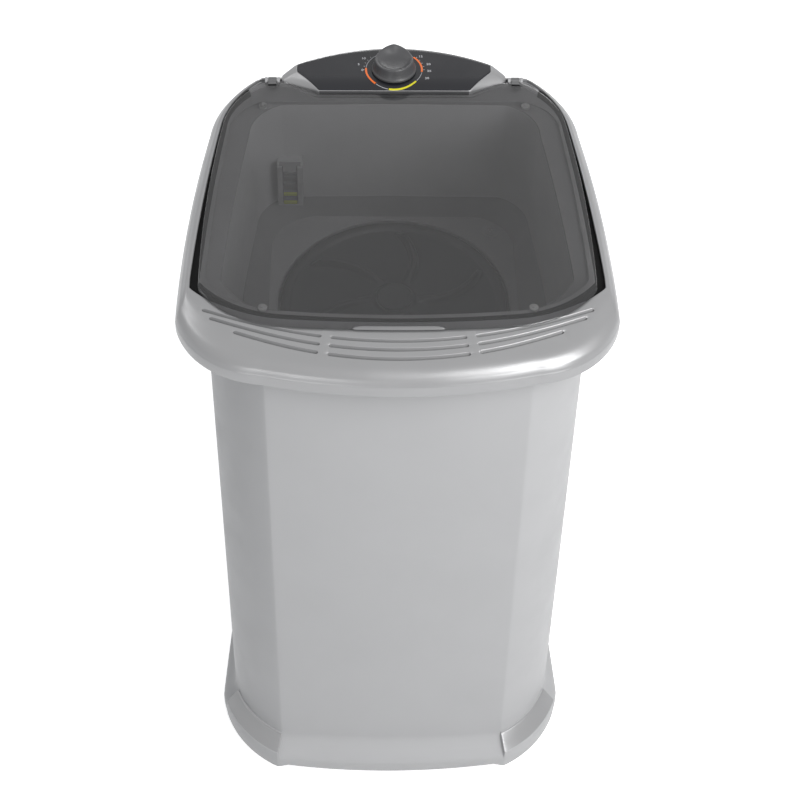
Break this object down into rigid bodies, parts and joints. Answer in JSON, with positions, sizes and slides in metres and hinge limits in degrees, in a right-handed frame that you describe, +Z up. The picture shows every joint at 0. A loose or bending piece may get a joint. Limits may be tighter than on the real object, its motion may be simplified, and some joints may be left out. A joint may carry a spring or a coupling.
{
  "type": "semi-automatic washing machine",
  "caption": "Top-loading semi-automatic washing machine with a smoked hinged lid, rear timer knob, louvred silver rim, flared foot and a belt-driven pulsator in the tub.",
  "frame": {"origin": "on the floor, under the middle of the outline seen from above", "axes": "+Z up, front of the machine towards -Y, +X to the right as one faces the front"},
  "size_m": [0.49, 0.54, 0.828],
  "materials": {
    "body_paint": "satin light grey moulding",
    "grey_plastic": "grained grey moulding",
    "cover_plastic": "grained grey moulding",
    "screw_steel": "zinc-plated steel",
    "foot_rubber": "dark rubber",
    "black_plastic": "grained black moulding",
    "frame_silver": "silver-painted moulding with a soft metallic shine",
    "fascia_plastic": "dark grey printed panel",
    "timer_plastic": "off-white moulding",
    "shaft_steel": "ground steel",
    "knob_plastic": "satin dark grey moulding",
    "smoked_glass": "smoked clear plastic with a polished surface",
    "tub_plastic": "light grey moulding",
    "hose_rubber": "grey rubber",
    "filter_plastic": "grey moulding",
    "filter_green": "yellow-green moulding",
    "pulsator_plastic": "grey moulding",
    "housing_alloy": "die-cast, as cast",
    "bush_bronze": "sintered bronze",
    "pulley_plastic": "filled black moulding",
    "belt_rubber": "black rubber",
    "plate_steel": "plain pressed steel",
    "motor_paint": "grey enamel"
  },
  "bodies": {
    "machine": {"cabinet": "body_paint", "base_pan": "grey_plastic", "base_screws": "screw_steel", "foot_pads": "foot_rubber", "back_cover": "cover_plastic", "cover_screws": "screw_steel", "cord_gland": "black_plastic", "drain_outlet": "black_plastic", "top_frame": "frame_silver", "frame_screws": "screw_steel", "pod_cover": "cover_plastic", "fascia": "fascia_plastic", "timer_body": "timer_plastic", "timer_screws": "screw_steel", "hinge_brackets": "grey_plastic", "tub": "tub_plastic", "drain_grate": "tub_plastic", "drain_hose": "hose_rubber", "filter_channel": "tub_plastic", "bearing_housing": "housing_alloy", "housing_screws": "screw_steel", "housing_gasket": "foot_rubber", "shaft_seal": "foot_rubber", "upper_bush": "bush_bronze", "lower_bush": "bush_bronze", "belt": "belt_rubber", "motor_plate": "plate_steel", "plate_screws": "screw_steel", "motor_shell": "motor_paint", "motor_stator": "plate_steel", "motor_shield_upper": "housing_alloy", "motor_shield_lower": "housing_alloy", "motor_bearings": "shaft_steel", "motor_bolts": "screw_steel", "capacitor": "timer_plastic", "terminal_box": "timer_plastic", "wiring_loom": "belt_rubber"},
    "lid": {"lid": "smoked_glass", "lid_skirt": "smoked_glass", "lid_knuckles": "smoked_glass", "lid_bumpers": "foot_rubber", "hinge_pins": "shaft_steel"},
    "timer_knob": {"knob": "knob_plastic", "timer_shaft": "shaft_steel"},
    "agitator": {"pulsator": "pulsator_plastic", "drive_shaft": "shaft_steel", "drive_pulley": "pulley_plastic", "pulsator_bolt": "shaft_steel", "pulsator_cap": "pulsator_plastic", "pulley_nut": "screw_steel"},
    "rotor": {"motor_rotor": "plate_steel", "motor_shaft": "shaft_steel", "motor_fan": "pulley_plastic", "motor_pulley": "housing_alloy"},
    "filter": {"lint_filter": "filter_plastic", "filter_bars": "filter_green"}
  },
  "joints": [
    {"name": "lid_hinge", "type": "hinge", "parent": "machine", "child": "lid", "pos_m": [0, 0.217, 0.7975], "axis": [-1, 0, 0], "range_deg": [0, 100]},
    {"name": "knob_turn", "type": "hinge", "parent": "machine", "child": "timer_knob", "pos_m": [0, 0.228, 0.8065], "axis": [0, 0, 1], "range_deg": [-330, 0]},
    {"name": "pulsator_spin", "type": "hinge", "parent": "machine", "child": "agitator", "pos_m": [0, 0.03, 0.438], "axis": [0, 0, 1], "continuous": true},
    {"name": "rotor_spin", "type": "hinge", "parent": "machine", "child": "rotor", "pos_m": [0, -0.13, 0.313], "axis": [0, 0, 1], "continuous": true},
    {"name": "filter_slide", "type": "slide", "parent": "machine", "child": "filter", "axis": [0, 0, 1], "range_m": [0, 0.1]}
  ],
  "couplings": [
    {"joint": "rotor_spin", "follows": "pulsator_spin", "ratio": 5.2455}
  ]
}
